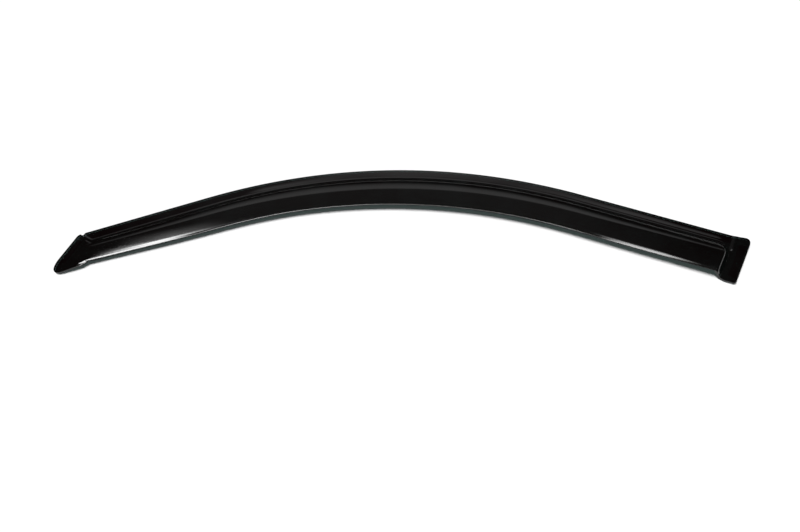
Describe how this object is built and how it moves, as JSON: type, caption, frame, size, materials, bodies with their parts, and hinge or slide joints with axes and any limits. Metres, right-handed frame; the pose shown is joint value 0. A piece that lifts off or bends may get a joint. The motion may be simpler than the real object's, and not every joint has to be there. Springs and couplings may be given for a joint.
{
  "type": "window rain deflector",
  "caption": "Swept smoked-acrylic visor that tapes over a car's front door window, with a flat flange, a stepped and raised blade and end pads.",
  "frame": {"origin": "middle of the tape's underside at the highest point of the arch, which is the face that sticks to the window frame", "axes": "+X from the narrow tip to the wide rear end, +Y towards the top edge, +Z out of the outer face"},
  "size_m": [1.0228, 0.2036, 0.0156],
  "materials": {
    "smoked_acrylic": "polished, dark grey-green smoke tint",
    "foam_tape": "matte closed-cell acrylic foam"
  },
  "bodies": {
    "root": {"deflector": "smoked_acrylic", "flange_tape": "foam_tape", "tip_tape": "foam_tape", "rear_tape": "foam_tape"}
  },
  "joints": []
}
